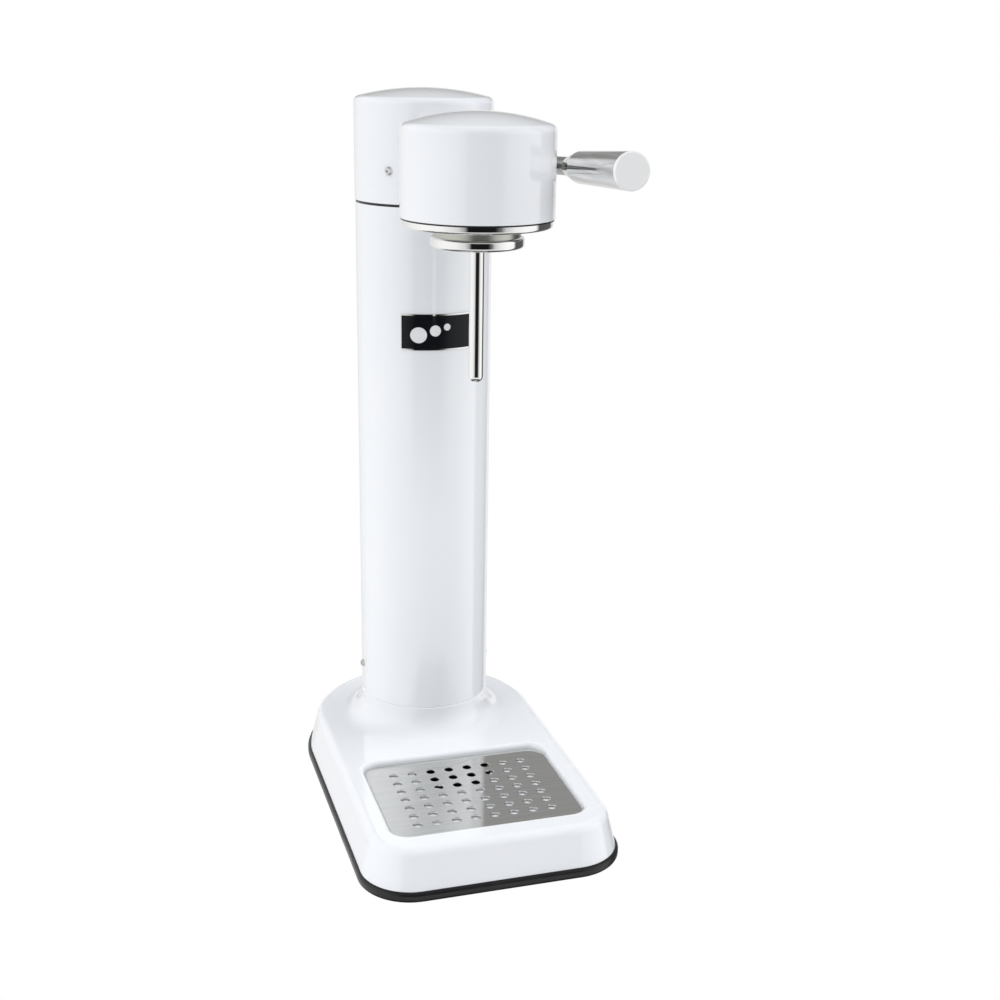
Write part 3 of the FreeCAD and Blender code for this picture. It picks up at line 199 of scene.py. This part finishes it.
def brushed_grip():
    """Steel polished along the grip: streaks of light and dark grey in a fairly sharp gloss."""
    material = new_material("grip_steel", (0.70, 0.70, 0.69), metallic=1.0, roughness=0.1)
    along = (1.0, 0.03, 1.0)
    vary_colour(material, grain(material, 420.0, 4.0, along), (0.50, 0.50, 0.49), (0.84, 0.84, 0.83))
    vary_roughness(material, grain(material, 1500.0, 3.0, along), 0.06, 0.14)
    add_bump(material, grain(material, 900.0, 3.0, along), 10 * MICRON, 0.3)
    return material


# Height of the socket's bright rim, and of the line where it turns into the neck, whose dim greenish grey is a
# painted reflection.
SOCKET_RIM = 0.0058
SOCKET_LINE = 0.0002
# The neck's dim greenish-grey colour is a painted reflection of what the chrome neck mirrors; its roughness is
# satin.
NECK_PAINTED_REFLECTION_AND_SATIN = {"Base Color": (0.52, 0.53, 0.48, 1.0), "Roughness": (0.3, 0.3, 0.3, 1.0)}


def socket_chrome():
    """Chrome on the socket's rim; the neck above it gets a satin roughness and a dim greenish-grey colour that is
    a painted reflection.
    """
    material = polished_steel()
    material.name = "socket_chrome"
    place = add_node(material, "ShaderNodeNewGeometry")
    height = add_node(material, "ShaderNodeSeparateXYZ")
    link(material, place.outputs["Position"], height, "Vector")
    rim_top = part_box("bottle_socket")[0].z + SOCKET_RIM
    neck = add_node(
        material, "ShaderNodeMapRange",
        From_Min=rim_top - SOCKET_LINE / 2, From_Max=rim_top + SOCKET_LINE / 2,
    )
    link(material, height.outputs["Z"], neck, "Value")
    # Each mix lays the neck's painted reflection colour, then its satin roughness, over the chrome above the rim
    # line.
    for socket, painted_reflection_and_satin in NECK_PAINTED_REFLECTION_AND_SATIN.items():
        mix = add_node(material, "ShaderNodeMix")
        mix.data_type = "RGBA"
        before = shader_of(material).inputs[socket].links[0].from_socket
        link(material, neck.outputs["Result"], mix, MIX_FACTOR)
        link(material, before, mix, MIX_FROM)
        mix.inputs[MIX_TO].default_value = painted_reflection_and_satin
        link(material, mix.outputs[MIXED], shader_of(material), socket)
    return material


def turned_face():
    """End face of the grip: metal given as a nearly white, mostly matt face with fine lathe rings about its
    centre; its brightness is a painted reflection.
    """
    # Low metallic and the near-white ring colours below: a painted reflection that keeps the metal face bright.
    material = new_material("turned_face", (0.80, 0.80, 0.79), metallic=0.15, roughness=0.30)
    place = add_node(material, "ShaderNodeTexCoord")
    low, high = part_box("grip_end_cap")
    middle = (low + high) / 2
    mapping = add_node(material, "ShaderNodeMapping", Location=-middle)
    rings = add_node(material, "ShaderNodeTexWave", Scale=900.0, Distortion=0.6, Detail=2.0)
    rings.wave_type = "RINGS"
    rings.rings_direction = "SPHERICAL"
    link(material, place.outputs["Object"], mapping, "Vector")
    link(material, mapping.outputs["Vector"], rings, "Vector")
    vary_colour(material, rings.outputs["Fac"], (0.93, 0.93, 0.92), (0.99, 0.99, 0.98))
    vary_roughness(material, rings.outputs["Fac"], 0.18, 0.30)
    add_bump(material, rings.outputs["Fac"], 10 * MICRON, 0.5)
    return material


def cast_metal(name, colour, rough, depth=30 * MICRON):
    """Machined or cast metal; depth is the height of its grain."""
    material = new_material(name, colour, metallic=1.0, roughness=rough)
    dark = tuple(FLECK_DARK * part for part in colour)
    vary_colour(material, grain(material, 120.0), dark, colour)
    vary_roughness(material, grain(material, 300.0, 4.0), rough - 0.12, rough + 0.1)
    add_bump(material, grain(material, 700.0, 3.0), depth, 0.4)
    return material


def gloss_plastic(name, colour, gloss=1.5):
    """Moulded plastic or enamel; gloss is its index of refraction."""
    material = new_material(name, colour, roughness=0.15, IOR=gloss)
    dark = tuple(FLECK_DARK * part for part in colour)
    vary_colour(material, grain(material, 80.0), dark, colour)
    vary_roughness(material, grain(material, 200.0), 0.08, 0.2)
    add_bump(material, grain(material, 1200.0), 8 * MICRON, 0.3)
    return material


# The surface for each material slot of the record, then the nodes that differ from their slot.
MATERIALS = {
    "white_lacquer": white_lacquer(),
    "black_rubber": black_rubber(),
    "black_lacquer": black_lacquer(),
    "polished_steel": polished_steel(),
    "satin_steel": brushed_steel("satin_steel", (0.72, 0.72, 0.71), (1.0, 0.03, 1.0), 0.14, 0.24),
    "screw_steel": brushed_steel("screw_steel", (0.70, 0.70, 0.69), (1.0, 1.0, 1.0), 0.18, 0.34),
    "works_steel": cast_metal("works_steel", (0.55, 0.56, 0.58), 0.38),
    "spring_steel": cast_metal("spring_steel", (0.38, 0.38, 0.40), 0.34),
    "brass": cast_metal("brass", (0.80, 0.62, 0.32), 0.32),
    "cast_aluminium": cast_metal("cast_aluminium", (0.72, 0.72, 0.73), 0.5),
    "cylinder_paint": gloss_plastic("cylinder_paint", (0.36, 0.38, 0.41)),
    "hose_black": black_rubber(),
    "badge_black": gloss_plastic("badge_black", (0.006, 0.007, 0.009), gloss=1.3),
    "badge_white": gloss_plastic("badge_white", (0.86, 0.87, 0.88)),
}
SPECIAL = {
    "drip_plate": brushed_steel("plate_steel", (0.71, 0.71, 0.69), (0.02, 1.0, 1.0), 0.05, 0.08, MICRON),
    "grip_end_cap": turned_face(),
    "lever_grip": brushed_grip(),
    # The rod is given a darker grey than bare steel: painted shade.
    "lever_rod": cast_metal("rod_steel", (0.34, 0.34, 0.33), 0.26, depth=3 * MICRON),
    "shaft_bush": MATERIALS["polished_steel"],
    "bottle_socket": socket_chrome(),
}

for entry in frame["record"]["subparts"]:
    node = frame["nodes"][entry["node"]]
    surface = SPECIAL.get(entry["node"], MATERIALS[entry["material_slot"]])
    node.data.materials.clear()
    node.data.materials.append(surface)

# ---------------------------------------------------------------- springs


def squash_spring(spring):
    """Give a coil spring its own copy of its mesh."""
    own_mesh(frame["nodes"][spring])


for joint in frame["joints"]:
    for entry in joint.get("deforming_nodes", []):
        squash_spring(entry["node"])

# ---------------------------------------------------------------- studio


def choice(tree, factor, otherwise, chosen):
    """One closure where the factor is 1, another where it is 0."""
    mix = tree.nodes.new("ShaderNodeMixShader")
    tree.links.new(factor, mix.inputs[0])
    tree.links.new(otherwise, mix.inputs[1])
    tree.links.new(chosen, mix.inputs[2])
    return mix.outputs[0]


def camera_only(tree, seen, otherwise, socket):
    """Show the camera one closure and the object's lighting another."""
    ray = tree.nodes.new("ShaderNodeLightPath")
    tree.links.new(choice(tree, ray.outputs["Is Camera Ray"], otherwise, seen), socket)


FLOOR_REACH = 3.0
FLOOR_FRONT = -0.6
FLOOR_GREY = 0.45
FLOOR_GLOW = 0.48


def make_floor():
    """A pale floor that glows a little. The camera sees it as plain white, and through it from below."""
    mesh = bpy.data.meshes.new("floor")
    corners = [
        (-FLOOR_REACH, FLOOR_FRONT, 0.0), (FLOOR_REACH, FLOOR_FRONT, 0.0),
        (FLOOR_REACH, FLOOR_REACH, 0.0), (-FLOOR_REACH, FLOOR_REACH, 0.0),
    ]
    mesh.from_pydata(corners, [], [(0, 1, 2, 3)])
    floor = bpy.data.objects.new("floor", mesh)
    bpy.context.scene.collection.objects.link(floor)
    paper = new_material(
        "floor_paper", (FLOOR_GREY, FLOOR_GREY, FLOOR_GREY), roughness=0.9,
        Emission_Color=(1.0, 1.0, 1.0, 1.0), Emission_Strength=FLOOR_GLOW,
    )
    white = add_node(paper, "ShaderNodeEmission", Strength=1.0)
    clear = add_node(paper, "ShaderNodeBsdfTransparent")
    side = add_node(paper, "ShaderNodeNewGeometry")
    seen = choice(paper.node_tree, side.outputs["Backfacing"], white.outputs[0], clear.outputs[0])
    output = paper.node_tree.nodes["Material Output"]
    camera_only(paper.node_tree, seen, shader_of(paper).outputs[0], output.inputs["Surface"])
    mesh.materials.append(paper)
    floor.visible_glossy = False


# The studio is described by direction from the object, turned so that +Y runs the way the
# camera looks and +X to its right. The edge of a patch is a pair: where it begins along that
# direction's X, Y or Z, and where it is full.

# Brightness of the walls by compass angle in degrees: 0 is towards the camera, positive to
# its right. There is a dark gap where the camera stands, and a white screen on each side.
SCREENS = (
    (-180, 0.80), (-150, 0.80), (-127, 0.92), (-90, 1.06), (-52, 1.02), (-28, 0.76),
    (-18, 0.40), (-13, 0.01), (28, 0.01), (37, 0.17), (45, 0.66), (60, 0.95), (80, 1.10),
    (100, 1.08), (108, 0.09), (145, 0.12), (155, 0.80), (180, 0.80),
)
WALL_BEHIND = 0.36
WALL_BEHIND_AHEAD = (0.30, 0.60)
WALL_BEHIND_HEIGHT = (0.10, 0.16)
WALL_BEHIND_LEFT_END = (-0.42, -0.37)
FLOOR_IN_FRONT = 0.90
FLOOR_IN_FRONT_BACK = (-0.30, -0.60)
FLOOR_IN_FRONT_HEIGHT = (-0.23, -0.30)
CEILING = 0.42
CEILING_HEIGHT = (0.60, 0.80)
BELOW = 0.10
BELOW_HEIGHT = (-0.60, -0.75)

# The light on matt surfaces: this share of it is even, weaker from low down and stronger from
# high up, and the rest comes from the room.
AMBIENT = (0.87, 0.885, 0.915)
AMBIENT_SHARE = 0.75
AMBIENT_LOW = 0.90
AMBIENT_HIGH = 1.15


def make_node(tree, kind, *links, operation=None):
    """A node of the studio; each link is an output and the input that it goes to."""
    made = tree.nodes.new(kind)
    if operation:
        made.operation = operation
    for source, socket in links:
        tree.links.new(source, made.inputs[socket])
    return made


def patch(tree, value, edge):
    """0 where the value is outside the patch's edge and 1 well inside it."""
    rise = make_node(tree, "ShaderNodeMapRange", (value, "Value"))
    rise.inputs["From Min"].default_value, rise.inputs["From Max"].default_value = edge
    return rise.outputs["Result"]


def both(tree, first, second):
    """Where two patches overlap."""
    return make_node(tree, "ShaderNodeMath", (first, 0), (second, 1), operation="MULTIPLY").outputs[0]


def lit(tree, colour, level, where):
    """The colour with a grey of this level laid over it in a patch."""
    mix = make_node(tree, "ShaderNodeMix")
    mix.data_type = "RGBA"
    tree.links.new(where, mix.inputs[MIX_FACTOR])
    tree.links.new(colour, mix.inputs[MIX_FROM])
    mix.inputs[MIX_TO].default_value = (level, level, level, 1.0)
    return mix.outputs[MIXED]


def make_walls(tree, direction):
    """The ring of screens round the object: a colour ramp from -180 to 180 degrees."""
    back = make_node(tree, "ShaderNodeMath", (direction["Y"], 0), operation="MULTIPLY")
    back.inputs[1].default_value = -1.0
    around = make_node(
        tree, "ShaderNodeMath", (direction["X"], 0), (back.outputs[0], 1), operation="ARCTAN2",
    )
    share = make_node(tree, "ShaderNodeMath", (around.outputs[0], 0), operation="MULTIPLY_ADD")
    share.inputs[1].default_value = 0.5 / math.pi
    share.inputs[2].default_value = 0.5
    walls = make_node(tree, "ShaderNodeValToRGB", (share.outputs[0], "Fac"))
    ramp = walls.color_ramp
    while len(ramp.elements) < len(SCREENS):
        ramp.elements.new(0.5)
    for element, (angle, level) in zip(ramp.elements, SCREENS):
        element.position = angle / 360.0 + 0.5
        element.color = (level, level, level, 1.0)
    return walls.outputs["Color"]


def make_room(tree, direction):
    """What the gloss reflects: the walls, a plainer wall behind, a pale floor, a ceiling."""
    ahead = patch(tree, direction["Y"], WALL_BEHIND_AHEAD)
    raised = patch(tree, direction["Z"], WALL_BEHIND_HEIGHT)
    not_far_left = patch(tree, direction["X"], WALL_BEHIND_LEFT_END)
    behind = both(tree, both(tree, ahead, raised), not_far_left)
    near_camera = patch(tree, direction["Y"], FLOOR_IN_FRONT_BACK)
    low = patch(tree, direction["Z"], FLOOR_IN_FRONT_HEIGHT)
    room = lit(tree, make_walls(tree, direction), WALL_BEHIND, behind)
    room = lit(tree, room, FLOOR_IN_FRONT, both(tree, near_camera, low))
    room = lit(tree, room, CEILING, patch(tree, direction["Z"], CEILING_HEIGHT))
    return lit(tree, room, BELOW, patch(tree, direction["Z"], BELOW_HEIGHT))


def make_ambient(tree, direction):
    """The even light's colour, by height."""
    rise = make_node(tree, "ShaderNodeMapRange", (direction["Z"], "Value"))
    rise.inputs["To Min"].default_value = AMBIENT_LOW
    rise.inputs["To Max"].default_value = AMBIENT_HIGH
    ambient = make_node(tree, "ShaderNodeVectorMath", (rise.outputs["Result"], "Scale"), operation="SCALE")
    ambient.inputs[0].default_value = AMBIENT
    return ambient.outputs[0]


def make_world(facing):
    """A room that shows in the gloss, an even light for the rest, and white for the camera."""
    world = bpy.data.worlds.new("studio")
    bpy.context.scene.world = world
    world.use_nodes = True
    tree = world.node_tree
    tree.nodes.clear()
    place = make_node(tree, "ShaderNodeTexCoord")
    turn = make_node(tree, "ShaderNodeMapping", (place.outputs["Generated"], "Vector"))
    turn.inputs["Rotation"].default_value = (0.0, 0.0, facing)
    direction = make_node(tree, "ShaderNodeSeparateXYZ", (turn.outputs["Vector"], "Vector")).outputs
    ray = make_node(tree, "ShaderNodeLightPath")
    share = make_node(tree, "ShaderNodeMath", (ray.outputs["Is Diffuse Ray"], 0), operation="MULTIPLY")
    share.inputs[1].default_value = AMBIENT_SHARE
    tint = make_node(tree, "ShaderNodeMix")
    tint.data_type = "RGBA"
    tree.links.new(share.outputs[0], tint.inputs[MIX_FACTOR])
    tree.links.new(make_room(tree, direction), tint.inputs[MIX_FROM])
    tree.links.new(make_ambient(tree, direction), tint.inputs[MIX_TO])
    light = make_node(tree, "ShaderNodeBackground", (tint.outputs[MIXED], "Color"))
    plain = make_node(tree, "ShaderNodeBackground")
    plain.inputs["Color"].default_value = (1.0, 1.0, 1.0, 1.0)
    out = make_node(tree, "ShaderNodeOutputWorld")
    camera_only(tree, plain.outputs[0], light.outputs[0], out.inputs["Surface"])


def softbox(name, place, aim, side, power, spread=180.0):
    """A soft square lamp that looks at aim; spread is its beam in degrees."""
    lamp = bpy.data.lights.new(name, "AREA")
    lamp.shape = "RECTANGLE"
    lamp.size = side
    lamp.size_y = side
    lamp.energy = power
    lamp.spread = math.radians(spread)
    holder = bpy.data.objects.new(name, lamp)
    holder.location = place
    holder.rotation_euler = (aim - Vector(place)).to_track_quat("-Z", "Y").to_euler()
    holder.visible_camera = False
    holder.visible_glossy = False
    bpy.context.scene.collection.objects.link(holder)


def make_camera(place, yaw, pitch, roll, lens, shift):
    """A camera whose view runs yaw degrees from +Y towards +X and pitch degrees downward."""
    yaw, pitch, roll = (math.radians(angle) for angle in (yaw, pitch, roll))
    ahead = Vector((
        math.sin(yaw) * math.cos(pitch),
        math.cos(yaw) * math.cos(pitch),
        -math.sin(pitch),
    ))
    level = Vector((math.cos(yaw), -math.sin(yaw), 0.0))
    upright = level.cross(ahead)
    right = math.cos(roll) * level + math.sin(roll) * upright
    up = -math.sin(roll) * level + math.cos(roll) * upright
    data = bpy.data.cameras.new("camera")
    data.lens = lens
    data.shift_x, data.shift_y = shift
    camera = bpy.data.objects.new("camera", data)
    turn = Matrix((right, up, -ahead)).transposed()
    camera.matrix_world = Matrix.Translation(place) @ turn.to_4x4()
    bpy.context.scene.collection.objects.link(camera)
    bpy.context.scene.camera = camera


# Where the camera stands, which way it looks in degrees, and its lens.
CAMERA_PLACE = Vector((-0.21434, -0.79597, 0.4417))
CAMERA_YAW = 17.07
CAMERA_PITCH = 18.37
CAMERA_ROLL = 0.87
CAMERA_LENS = 52.43
CAMERA_SHIFT = (0.0061, 0.0312)

make_floor()
make_world(facing=math.radians(CAMERA_YAW))
middle = (cad_box[0] + cad_box[1]) / 2
deck = Vector((0.0, 0.0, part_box("base_housing")[1].z))
softbox("key_left", (-1.1, -0.1, 1.25), middle, side=1.2, power=4.2)
softbox("overhead", (0.0, -0.45, 1.6), middle, side=1.2, power=1.0)
softbox("fill_right", (1.2, 0.1, 1.0), middle, side=1.0, power=7.2)
softbox("deck_left", (-0.55, -0.35, 0.65), deck, side=0.3, power=0.03, spread=22.0)
make_camera(CAMERA_PLACE, CAMERA_YAW, CAMERA_PITCH, CAMERA_ROLL, CAMERA_LENS, CAMERA_SHIFT)
bpy.context.scene.view_settings.view_transform = "Standard"
